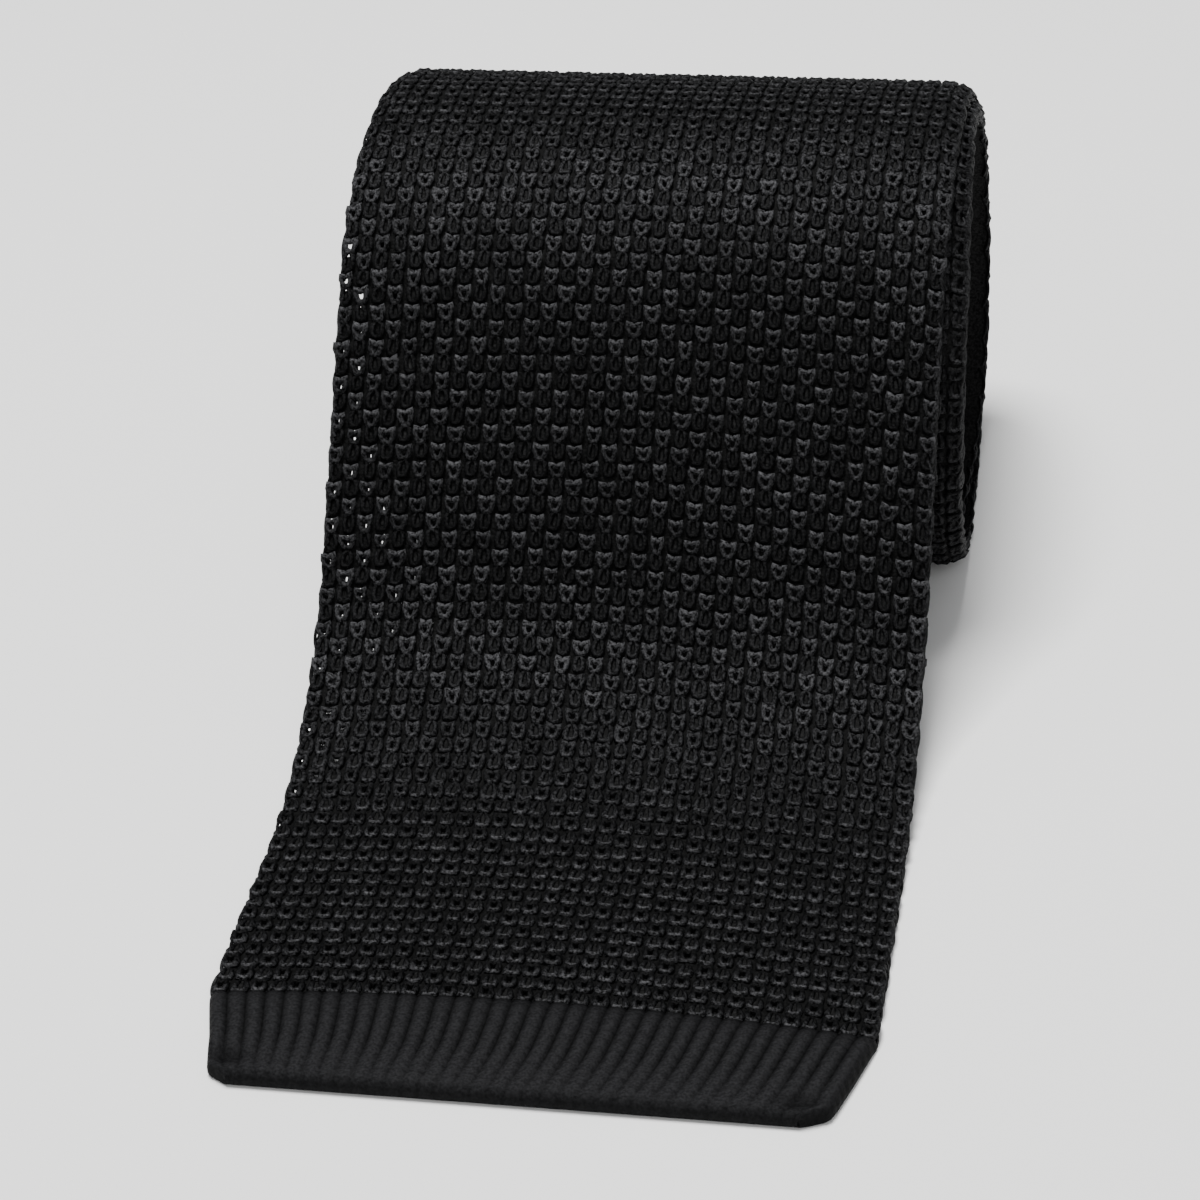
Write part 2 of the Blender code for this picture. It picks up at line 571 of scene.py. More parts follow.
class NodeGroup:
    """A shared node group for a pattern, with the inputs Across and Along and the output Mask."""

    STEEP = (0.35, 0.65)

    def __init__(self, pattern: Pattern) -> None:
        """Starts the group of this pattern.

        Args:
            pattern: the pattern.
        """
        self.tree = bpy.data.node_groups.new(pattern.value, "ShaderNodeTree")
        for socket in ("Across", "Along"):
            self.tree.interface.new_socket(socket, in_out="INPUT", socket_type="NodeSocketFloat")
        self.tree.interface.new_socket("Mask", in_out="OUTPUT", socket_type="NodeSocketFloat")
        self.link = self.tree.links.new
        self.start = self.add("NodeGroupInput").outputs
        self.end = self.add("NodeGroupOutput").inputs

    def add(self, kind: str) -> bpy.types.Node:
        """Adds a node."""
        return self.tree.nodes.new(kind)

    def math(self, operation: str, *values: bpy.types.NodeSocket | float) -> bpy.types.NodeSocket:
        """Adds a Math node.

        Args:
            operation: what it does.
            values: sockets or numbers that go in.

        Returns:
            Its output.
        """
        node = self.add("ShaderNodeMath")
        node.operation = operation
        for socket, value in zip(node.inputs, values):
            if isinstance(value, (int, float)):
                socket.default_value = value
            else:
                self.link(value, socket)
        return node.outputs[0]

    def uv(self) -> tuple[bpy.types.NodeSocket, bpy.types.NodeSocket]:
        """Adds the nodes that read both coordinates of the piece's own UV map.

        Returns:
            The sockets of the two coordinates.
        """
        split = self.add("ShaderNodeSeparateXYZ")
        self.link(self.add("ShaderNodeUVMap").outputs[0], split.inputs[0])
        return split.outputs["X"], split.outputs["Y"]

    def noise(self, detail: float) -> bpy.types.Node:
        """Adds a Noise Texture whose value, made steeper, is the group's mask.

        Args:
            detail: how much finer noise is added to it.

        Returns:
            The noise's node.
        """
        node = self.add("ShaderNodeTexNoise")
        node.inputs["Detail"].default_value = detail
        steep = self.add("ShaderNodeMapRange")
        steep.inputs["From Min"].default_value, steep.inputs["From Max"].default_value = self.STEEP
        self.link(node.outputs["Fac"], steep.inputs["Value"])
        self.link(steep.outputs["Result"], self.end["Mask"])
        return node


def make_filaments(spread: float = 90.0) -> None:
    """Makes the group for the fine filaments along a yarn, on the yarn's own UV map.

    Args:
        spread: how far apart the noise is read for tones that differ by one, which makes the copies differ.
    """
    group = NodeGroup(Pattern.FILAMENTS)
    length, girth = group.uv()
    tone = group.add("ShaderNodeAttribute")
    tone.attribute_name = TONE
    place = group.add("ShaderNodeCombineXYZ")
    group.link(group.math("MULTIPLY", length, group.start["Along"]), place.inputs["X"])
    group.link(group.math("MULTIPLY", girth, group.start["Across"]), place.inputs["Y"])
    noise = group.noise(detail=1.0)
    noise.noise_dimensions = "4D"
    noise.inputs["Scale"].default_value = 1.0
    group.link(place.outputs[0], noise.inputs["Vector"])
    group.link(group.math("MULTIPLY", tone.outputs["Fac"], spread), noise.inputs["W"])


def make_chevrons() -> None:
    """Makes the group for rows of small V stitches on ribs, on the cloth's own UV map."""
    group = NodeGroup(Pattern.CHEVRONS)
    across, along = group.uv()
    rib = group.math("FRACT", group.math("MULTIPLY", across, group.start["Across"]))
    from_middle = group.math("ABSOLUTE", group.math("SUBTRACT", rib, 0.5))
    rows = group.math("MULTIPLY", along, group.start["Along"])
    wave = group.math("SINE", group.math("MULTIPLY", group.math("ADD", rows, from_middle), math.tau))
    group.link(group.math("MULTIPLY_ADD", wave, 0.5, 0.5), group.end["Mask"])


def make_fine_fibres() -> None:
    """Makes the group for fine uneven fibres, on Object coordinates; Across is their number in a metre."""
    group = NodeGroup(Pattern.FIBRES)
    noise = group.noise(detail=3.0)
    group.link(group.add("ShaderNodeTexCoord").outputs["Object"], noise.inputs["Vector"])
    group.link(group.start["Across"], noise.inputs["Scale"])


class Relief(NamedTuple):
    """A pattern on a surface: which one, how often it comes across and along, and its depth in metres."""

    pattern: Pattern
    across: float
    along: float
    depth: float


@dataclass(frozen=True)
class YarnFinish:
    """Black silk yarn: dark, with a soft sheen, random tone per stitch, and painted light and shade.

    Attributes:
        name: the material's name.
        dark: colour at tone 0.
        light: colour at tone 2.
        roughness: of the yarn's surface.
        specular: how strongly it mirrors, 0.5 for plain plastic.
        sheen: weight of the soft fuzz that catches light at its rim.
        reliefs: the patterns on it, of which the first one also colours it.
        flecks: how strongly the first pattern changes the colour, as uneven fibres and painted fibre glints.
        sheen_roughness: how wide the fuzz shines.
        sheen_tint: its colour.
    """

    name: str
    dark: tuple[float, float, float, float]
    light: tuple[float, float, float, float]
    roughness: float
    specular: float
    sheen: float
    reliefs: tuple[Relief, ...]
    flecks: float
    sheen_roughness: float = 0.4
    sheen_tint: tuple[float, float, float, float] = (0.80, 0.85, 1.0, 1.0)

    def material(self) -> bpy.types.Material:
        """Makes the material.

        Returns:
            The material.
        """
        tree = ShaderTree(self.name)
        masks = []
        height = 0.0
        for relief in self.reliefs:
            group = tree.add("ShaderNodeGroup", node_tree=bpy.data.node_groups[relief.pattern.value])
            group.inputs["Across"].default_value = relief.across
            group.inputs["Along"].default_value = relief.along
            masks.append(group.outputs["Mask"])
            height = tree.multiply_add(masks[-1], relief.depth, height)
        # Flecks of uneven fibres and painted fibre glints
        fleck = tree.multiply_add(masks[0], self.flecks, (1.0 - self.flecks) / 2)
        # The tone: random per copy, times painted light and shade
        tone = tree.add("ShaderNodeAttribute", attribute_name=TONE)
        shade = tree.add("ShaderNodeMath", operation="MULTIPLY")
        tree.link(fleck, shade.inputs[0])
        tree.link(tone.outputs["Fac"], shade.inputs[1])
        ramp = tree.add("ShaderNodeValToRGB")
        ramp.color_ramp.elements[0].color = self.dark
        ramp.color_ramp.elements[1].color = self.light
        tree.link(shade.outputs[0], ramp.inputs["Fac"])
        tree.link(ramp.outputs["Color"], tree.shader["Base Color"])
        bump = tree.add("ShaderNodeBump")
        bump.inputs["Distance"].default_value = 1.0
        tree.link(height, bump.inputs["Height"])
        tree.link(bump.outputs["Normal"], tree.shader["Normal"])
        tree.shader["Roughness"].default_value = self.roughness
        tree.shader["Specular IOR Level"].default_value = self.specular
        tree.shader["Sheen Weight"].default_value = self.sheen
        tree.shader["Sheen Roughness"].default_value = self.sheen_roughness
        tree.shader["Sheen Tint"].default_value = self.sheen_tint
        return tree.material


@dataclass(frozen=True)
class FloorFinish:
    """A plain pale surface, uneven in soft waves."""

    colour: tuple[float, float, float, float] = (0.92, 0.92, 0.91, 1.0)
    roughness: float = 0.85
    unevenness: float = 0.03
    waves: float = 9.0  # in a metre

    def material(self) -> bpy.types.Material:
        """Makes the material.

        Returns:
            The material.
        """
        tree = ShaderTree(FLOOR_NAME)
        place = tree.add("ShaderNodeTexCoord")
        noise = tree.add("ShaderNodeTexNoise")
        noise.inputs["Scale"].default_value = self.waves
        bump = tree.add("ShaderNodeBump")
        bump.inputs["Strength"].default_value = self.unevenness
        tree.link(place.outputs["Object"], noise.inputs["Vector"])
        tree.link(noise.outputs["Fac"], bump.inputs["Height"])
        tree.link(bump.outputs["Normal"], tree.shader["Normal"])
        tree.shader["Base Color"].default_value = self.colour
        tree.shader["Roughness"].default_value = self.roughness
        return tree.material


@dataclass(frozen=True)
class Finishes:
    """The tie's materials."""

    yarn: bpy.types.Material
    ground: bpy.types.Material
    ribs: bpy.types.Material

    @classmethod
    def make(cls) -> Finishes:
        """Makes the shared node groups and the materials that use them.

        Returns:
            The materials.
        """
        make_filaments()
        make_chevrons()
        make_fine_fibres()
        fibres = Relief(Pattern.FIBRES, across=3600.0, along=0.0, depth=0.00005)
        near_black = (0.0015, 0.0015, 0.0015, 1.0)
        yarn = YarnFinish(
            name="black_silk_yarn",
            dark=near_black,
            light=(0.066, 0.066, 0.0695, 1.0),
            roughness=0.5,
            specular=0.035,
            sheen=0.004,
            reliefs=(fibres, Relief(Pattern.FILAMENTS, across=6.0, along=6.0, depth=0.00004)),
            flecks=1.05,
        )
        # Black cloth like the yarn, and darker still: painted shade of the recesses between the loops
        ground = YarnFinish(
            name="black_ground",
            dark=near_black,
            light=(0.022, 0.022, 0.022, 1.0),
            roughness=0.6,
            specular=0.035,
            sheen=0.0,
            reliefs=(fibres,),
            flecks=0.8,
        )
        ribs = YarnFinish(
            name="black_rib_knit",
            dark=(0.0005, 0.0005, 0.0005, 1.0),
            light=(0.025, 0.025, 0.0265, 1.0),
            roughness=0.65,
            specular=0.03,
            sheen=0.0,
            reliefs=(
                fibres._replace(depth=0.00002),
                Relief(Pattern.CHEVRONS, across=35.0, along=11.0, depth=0.00005),
            ),
            flecks=0.35,
        )
        return cls(yarn.material(), ground.material(), ribs.material())


@dataclass(frozen=True)
class Stitch:
    """One length of yarn in the knit.

    Attributes:
        route: the points that it passes through.
        closed: whether it closes on itself.
        tones: lowest and highest lightness of the copies.
        zones: rows of metres along, painted light and shade there as a share of lightness, and slant there.
        Where the slant is above 0, what lies under a copy's top is darker by that share: painted shade.
        Where it is below 0, what lies above its foot is darker by that share, painted shade, and the copy
        squats: its foot is broader, and it is lower and narrower above it.
        foot: where the foot is whole and where it has ended, in courses from a copy's middle.
        top: where the top begins and where it is whole, in courses from a copy's middle.
        foot_spread: how much broader the foot is at a slant of -1.
        leg_draw: how much narrower a copy is above its foot at that slant.
        lowering: how much lower it is at that slant.
        unevenness: how much the copies differ in size, as a share, and in turn, in radians.
        slip: how much they differ in place, as a share of a wale, a course and the yarn's radius.
    """

    route: tuple[YarnPoint, ...]
    closed: bool
    tones: tuple[float, float]
    zones: tuple[tuple[float, float, float], ...] = ((0.0, 1.0, 0.0), (1.0, 1.0, 0.0))
    foot: tuple[float, float] = (-0.30, -0.08)
    top: tuple[float, float] = (0.0, 0.25)
    foot_spread: float = 0.45
    leg_draw: float = 0.12
    lowering: float = 0.20
    unevenness: float = 0.07
    slip: float = 0.07 / 3

    @classmethod
    def loop(cls, half: tuple[YarnPoint, ...], **settings: tuple) -> Stitch:
        """A closed loop from half of its route.

        Args:
            half: the points, from the middle of its foot to the middle of its top.
            settings: its tones and zones.

        Returns:
            The stitch.
        """
        other = (point._replace(across=-point.across) for point in half[-2:0:-1])
        return cls((*half, *other), closed=True, **settings)

    def model(self, knit: Knit) -> bpy.types.Object:
        """Makes the yarn round its own middle, as a mesh with four sides.

        Args:
            knit: the gauge that its route is scaled by.

        Returns:
            The yarn.
        """
        curve = bpy.data.curves.new("yarn", "CURVE")
        curve.dimensions = "3D"
        curve.twist_mode = "Z_UP"
        curve.bevel_depth = knit.yarn
        curve.bevel_resolution = 0
        curve.use_fill_caps = not self.closed
        spline = curve.splines.new("POLY")
        spline.points.add(len(self.route) - 1)
        spline.use_cyclic_u = self.closed
        for point, place in zip(spline.points, self.route):
            point.co = (place.across * knit.wale, place.along * knit.course, place.height * knit.yarn, 1.0)
            point.radius = place.radius
        yarn = bpy.data.objects.new("yarn", curve)
        bpy.context.scene.collection.objects.link(yarn)
        select_only(yarn)
        bpy.ops.object.convert(target="MESH")
        return bpy.context.object

    def vary(self, copies: bpy.types.Object, count: int, knit: Knit, seed: int) -> None:
        """Makes each copy a little different from the next in size, turn, place and tone.

        Args:
            copies: an object that holds the copies one after another.
            count: how many there are.
            knit: the gauge.
            seed: start of the random draws.
        """
        draw = np.random.default_rng(seed)
        points = points_of(copies).reshape(count, -1, 3)
        middle = points.mean(1, keepdims=True)
        local = (points - middle) * (1.0 + draw.normal(0.0, self.unevenness, (count, 1, 3)))
        slant = look_up(self.zones, 2, points[..., 1])
        squat = np.maximum(-slant, 0.0)
        above_foot = np.interp(local[..., 1] / knit.course, self.foot, (0.0, 1.0))
        painted_shade_under_top = np.interp(local[..., 1] / knit.course, self.top, (1.0, 0.0))
        local[..., 0] *= 1.0 + squat * (self.foot_spread * (1.0 - above_foot) - self.leg_draw * above_foot)
        local[..., 1] *= 1.0 - squat * self.lowering * above_foot
        angle = draw.normal(0.0, self.unevenness, (count, 1))
        shift = draw.normal(0.0, self.slip, (count, 1, 3)) * (knit.wale, knit.course, knit.yarn)
        across = local[..., 0] * np.cos(angle) - local[..., 1] * np.sin(angle)
        along = local[..., 0] * np.sin(angle) + local[..., 1] * np.cos(angle)
        turned = np.stack([across, along, local[..., 2]], -1)
        move_points(copies, (turned + middle + shift).reshape(-1, 3))
        # Random tone, times painted light and shade by zone
        tone = draw.uniform(*self.tones, (count, 1)) * look_up(self.zones, 1, points[..., 1])
        # Painted shade under a copy's top, or above its foot where it squats
        tone *= 1.0 - np.maximum(slant, 0.0) * painted_shade_under_top - squat * above_foot
        set_tone(copies, tone.ravel())


# A raised loop looks like a heart with ears: two lobes at its top, joined by a bar, and legs that meet in
# a low U. A sunk loop is a plain narrow ring.
RAISED_LOOP = Stitch.loop(
    (
        YarnPoint(0.00, -0.36, -0.90, 1.05),
        YarnPoint(0.17, -0.32, -0.75, 1.05),
        YarnPoint(0.26, -0.12, -0.45, 1.00),
        YarnPoint(0.31, 0.12, 0.05, 1.15),
        YarnPoint(0.31, 0.33, 0.40, 1.38),
        YarnPoint(0.14, 0.26, 0.10, 1.12),
        YarnPoint(0.00, 0.19, -0.10, 1.05),
    ),
    tones=(0.7, 1.3),
    # The lightness by zone is painted light and shade, lightest on the ramp
    zones=(
        (0.0, 0.78, -0.92), (0.026, 0.80, -0.88), (0.034, 0.80, -0.6), (0.042, 0.85, -0.2),
        (0.058, 1.25, 0.55), (0.085, 1.20, 0.55), (0.10, 0.80, 0.0), (0.110, 0.70, -0.85),
        (0.122, 0.50, -0.7), (1.0, 0.50, -0.7),
    ),
)
SUNK_LOOP = Stitch.loop(
    (
        YarnPoint(0.00, -0.36, -1.00, 1.05),
        YarnPoint(0.19, -0.32, -0.95, 1.05),
        YarnPoint(0.27, -0.05, -1.00, 1.00),
        YarnPoint(0.24, 0.35, -1.20, 1.00),
        YarnPoint(0.12, 0.58, -1.60, 1.00),
        YarnPoint(0.00, 0.62, -1.70, 1.00),
    ),
    tones=(0.7, 1.2),
    # The lightness by zone is painted shade, darkest on the ramp between the raised loops
    zones=(
        (0.0, 0.78, -0.92), (0.026, 0.78, -0.88), (0.034, 0.66, -0.6), (0.042, 0.42, -0.2),
        (0.058, 0.17, 0.5), (0.085, 0.17, 0.5), (0.10, 0.45, -0.1), (0.110, 0.67, -0.85),
        (0.122, 0.50, -0.7), (1.0, 0.50, -0.7),
    ),
)
EDGE_ARC = Stitch(
    route=(
        YarnPoint(-0.30, -1.00, 0.0, 0.60),
        YarnPoint(-0.19, -0.66, 0.0, 0.65),
        YarnPoint(-0.13, -0.33, 0.0, 0.65),
        YarnPoint(-0.11, 0.00, 0.0, 0.65),
        YarnPoint(-0.13, 0.33, 0.0, 0.65),
        YarnPoint(-0.19, 0.66, 0.0, 0.65),
        YarnPoint(-0.30, 1.00, 0.0, 0.60),
    ),
    closed=False,
    # Random tone, kept low as painted shade along the edges
    tones=(0.1, 0.4),
)


@dataclass(frozen=True)
class LoopField:
    """A stretch of the knit's face: raised and sunk loops, set out like the squares of a chequered board.

    Attributes:
        knit: the gauge.
        start: number of its first course, an even one.
        end: number of the course after its last one, an even one.
        first_wale: number of its first wale.
        wales: how many wales.
        face: the face that it lies on.
    """

    knit: Knit
    start: int
    end: int
    first_wale: int = 0
    wales: int = Knit.wales
    face: Face = Face.OUTER

    def spread(self, stitch: Stitch, lead: int) -> bpy.types.Object:
        """Copies one length of yarn over the field, a course later in every other wale.

        Args:
            stitch: the yarn.
            lead: how many courses later it lies in the first wale.

        Returns:
            All the copies as one object on the flat knit.
        """
        knit = self.knit
        pairs = (self.end - self.start) // 2
        copies = stitch.model(knit)
        repeat(copies, pairs, (0.0, 2 * knit.course, 0.0))
        repeat(copies, self.wales, (knit.wale, 0.0, 0.0))
        points = points_of(copies).reshape(self.wales, -1, 3)
        later = (np.arange(self.wales) + self.first_wale + lead) % 2
        points[..., 0] += (self.first_wale + 0.5) * knit.wale - knit.width / 2
        points[..., 1] += (self.start + 0.5 + later[:, None]) * knit.course
        move_points(copies, points.reshape(-1, 3))
        stitch.vary(copies, self.wales * pairs, knit, seed=LOOP_SEED + 2 * self.start + lead)
        return copies

    def model(self, path: TiePath) -> bpy.types.Object:
        """Makes the field and lays it along the path.

        Args:
            path: the tie's path.

        Returns:
            The field as one object.
        """
        loops = join(self.spread(RAISED_LOOP, 0), self.spread(SUNK_LOOP, 1))
        if self.face is Face.BACK:
            points = points_of(loops) * (-1.0, 1.0, -1.0)
            points[:, 2] -= self.knit.thickness
            move_points(loops, points)
        return path.lay(loops)


@dataclass(frozen=True)
class EdgeArcs:
    """The arcs of yarn along the two long edges of the tie, in rows one under another.

    Attributes:
        knit: the gauge.
        start: where along the tie they begin.
        end: where they stop.
        thickness: the cloth's.
        depths: how far under the outer face each row lies, as a share of the cloth's thickness.
    """

    knit: Knit
    start: float
    end: float
    thickness: float
    depths: tuple[float, ...] = (0.12, 0.50, 0.88)

    def row(self, side: Side, number: int) -> bpy.types.Object:
        """Makes one row of arcs on the flat knit.

        Args:
            side: the edge.
            number: the row, counted from the outer face.

        Returns:
            The row.
        """
        knit = self.knit
        arcs = EDGE_ARC.model(knit)
        count = int((self.end - self.start) / knit.course / 2)
        repeat(arcs, count, (0.0, 2 * knit.course, 0.0))
        points = points_of(arcs)
        points[:, 0] = side.value * (points[:, 0] + knit.width / 2)
        points[:, 1] += self.start + (number % 2 + 0.5) * knit.course
        points[:, 2] -= self.depths[number] * self.thickness
        move_points(arcs, points)
        if side is Side.LEFT:
            turn_inside_out(arcs)
        EDGE_ARC.vary(arcs, count, knit, seed=ARC_SEED + 2 * number + side.value)
        return arcs

    def model(self, path: TiePath) -> bpy.types.Object:
        """Makes all the rows on both edges and lays them along the path."""
        rows = [self.row(side, number) for side in Side for number in range(len(self.depths))]
        return path.lay(join(*rows))


@dataclass(frozen=True)
class Ground:
    """The dark cloth under the loops, a closed band with its columns of stitches parted by grooves.

    Attributes:
        knit: the gauge.
        start: where along the tie it begins.
        end: where it stops.
        rows: how many rows of faces it has along the tie.
        thickness: the cloth's.
        columns: columns of faces for each wale, 0 for a plain band.
        plain_columns: columns of faces of a plain band.
        sink: how far its outer face lies under the cloth's own.
        back_sink: the same for its back face.
        groove: depth of the grooves.
        groove_power: how narrow they are, more for narrower.
        edge_round: how far its long edges are rounded in.
        light: its lightness between the grooves.
        groove_shade: how much darker the grooves are, painted shade.
        eye_wales: how many wales at its left edge have open eyes, which let light from behind through.
        eye_share: share of the raised loops there that have one.
        eye_stretch: where along the tie they begin and stop.
        eye_reach: how far an eye reaches from its wale's middle, as a share of the wale.
    """

    knit: Knit
    start: float
    end: float
    rows: int
    thickness: float
    columns: int = 4
    plain_columns: int = 12
    sink: float = 0.00052
    back_sink: float = 0.00015
    groove: float = 0.00010
    groove_power: int = 3
    edge_round: float = 0.0003
    light: float = 0.8
    groove_shade: float = 0.6
    eye_wales: int = 0
    eye_share: float = 0.75
    eye_stretch: tuple[float, float] = (0.030, 0.092)
    eye_reach: float = 0.25
    # The lightness by zone is painted light and shade
    # metres along, lightness there as a share, sink of the outer face there as a share
    zones: tuple = (
        (0, 0.6, 0.7), (0.03, 0.6, 0.7), (0.05, 0.8, 1), (0.09, 0.8, 1), (0.11, 0.9, 0.75), (1, 0.9, 0.75),
    )

    def open_eyes(self, band: bpy.types.Object) -> None:
        """Takes the ground away under the middles of some raised loops near the left edge.

        Args:
            band: the band, still flat and without a thickness.
        """
        knit = self.knit
        centres = np.empty(len(band.data.polygons) * 3, np.float32)
        band.data.polygons.foreach_get("center", centres)
        across, along = centres.reshape(-1, 3)[:, :2].T
        across = (across + knit.width / 2) / knit.wale
        wale = across.astype(int)
        course = (along / knit.course).astype(int)
        drawn = np.random.default_rng(EYE_SEED).random((knit.wales, course.max() + 1)) < self.eye_share
        under_loop = (np.abs(across - wale - 0.5) < self.eye_reach) & ((wale + course) % 2 == 0)
        inside = (wale < self.eye_wales) & (along > self.eye_stretch[0]) & (along < self.eye_stretch[1])
        select_only(band)
        bpy.ops.object.mode_set(mode="EDIT")
        bpy.ops.mesh.select_mode(type="FACE")
        bpy.ops.mesh.select_all(action="DESELECT")
        bpy.ops.object.mode_set(mode="OBJECT")
        band.data.polygons.foreach_set("select", under_loop & inside & drawn[wale, course])
        bpy.ops.object.mode_set(mode="EDIT")
        bpy.ops.mesh.delete(type="FACE")
        bpy.ops.mesh.select_mode(type="VERT")
        bpy.ops.object.mode_set(mode="OBJECT")

    def model(self, path: TiePath) -> bpy.types.Object:
        """Makes the band and lays it along the path.

        Args:
            path: the tie's path.

        Returns:
            The band.
        """
        knit = self.knit
        across = knit.wales * self.columns if self.columns else self.plain_columns
        bpy.ops.mesh.primitive_grid_add(x_subdivisions=across, y_subdivisions=self.rows, size=2.0)
        band = bpy.context.object
        points = points_of(band) * (knit.width / 2 - knit.yarn, (self.end - self.start) / 2, 1.0)
        points[:, 1] += (self.start + self.end) / 2
        move_points(band, points)
        if self.eye_wales:
            self.open_eyes(band)
        apply_modifier(band, "SOLIDIFY", thickness=self.thickness, offset=-1.0)
        points = points_of(band)
        outer = points[:, 2] > -self.thickness / 2
        share = (points[:, 0] + knit.width / 2) / knit.wale
        fold = np.zeros(len(points))
        if self.columns:
            fold = np.abs(np.cos(math.pi * share)) ** self.groove_power
        from_edge = knit.width / 2 - knit.yarn - np.abs(points[:, 0])
        rounding = self.edge_round * np.clip(1.0 - from_edge / (2 * self.edge_round), 0.0, 1.0) ** 2
        sink = self.sink * look_up(self.zones, 2, points[:, 1]) + self.groove * fold
        points[:, 2] += np.where(outer, -sink - rounding, self.back_sink + rounding)
        move_points(band, points)
        # Painted shade in the grooves, and painted light and shade by zone
        set_tone(band, (self.light - self.groove_shade * fold) * look_up(self.zones, 1, points[:, 1]))
        return path.lay(band)


@dataclass
class Blade:
    """The wide blade: its ground, the loops on its faces and the arcs along its edges.

    Attributes:
        knit: the gauge.
        path: the tie's path.
        length: the blade's, along its back face.
        tuck: how far before the ramp the loops of the first turn stop, which are hidden there.
        second_turn_rows: rows of faces along the second turn.
        edge_wales: wales of the second turn that stand out beside the first.
        eye_wales: wales at the left edge that have open eyes.
        loops: the pieces of loops and arcs made so far.
    """

    knit: Knit
    path: TiePath
    length: float = 0.400
    tuck: float = 0.012
    second_turn_rows: int = 160
    edge_wales: int = 2
    eye_wales: int = 7
    loops: list[bpy.types.Object] = field(default_factory=list)

    def course_at(self, along: float) -> int:
        """Number of the even course nearest to a length along the tie."""
        return 2 * round(along / self.knit.course / 2)

    def add_loops(self, name: str, loops: LoopField, yarn: bpy.types.Material) -> None:
        """Makes a field of loops and keeps it as one of the blade's pieces."""
        self.loops.append(dress(loops.model(self.path), name, "front_blade", yarn))

    def build(self, finishes: Finishes) -> None:
        """Makes the blade's pieces.

        Args:
            finishes: the tie's materials.
        """
        path, knit = self.path, self.knit
        end = path.along_at(path.turns_at(self.length))
        first_turn = path.along_at(1.0)
        fields = {
            "ramp_loops": (0.0, path.open_length),
            "crown_loops": (path.open_length, path.along_at(0.5)),
            "back_loops": (path.along_at(0.5), first_turn - self.tuck),
        }
        for name, stretch in fields.items():
            start, stop = (self.course_at(along) for along in stretch)
            self.add_loops(name, LoopField(knit, start, stop), finishes.yarn)
        start, stop = self.course_at(path.flat), self.course_at(path.open_length - 2 * knit.course)
        self.add_loops("ramp_back_loops", LoopField(knit, start, stop, face=Face.BACK), finishes.yarn)
        start, stop = self.course_at(first_turn - self.tuck), self.course_at(end)
        edge = LoopField(knit, start, stop, knit.wales - self.edge_wales, self.edge_wales)
        self.add_loops("second_turn_loops", edge, finishes.yarn)
        arcs = EdgeArcs(knit, 0.0, end, knit.thickness).model(path)
        self.loops.append(dress(arcs, "front_blade_edges", "front_blade", finishes.yarn))

        rows = round(first_turn / knit.course)
        front = Ground(knit, 0.0, first_turn, rows, knit.thickness, eye_wales=self.eye_wales).model(path)
        dress(front, "front_blade_ground", "front_blade", finishes.ground)
        inner = Ground(knit, first_turn, end, self.second_turn_rows, knit.thickness, columns=0).model(path)
        dress(inner, "second_turn_ground", "front_blade", finishes.ground)


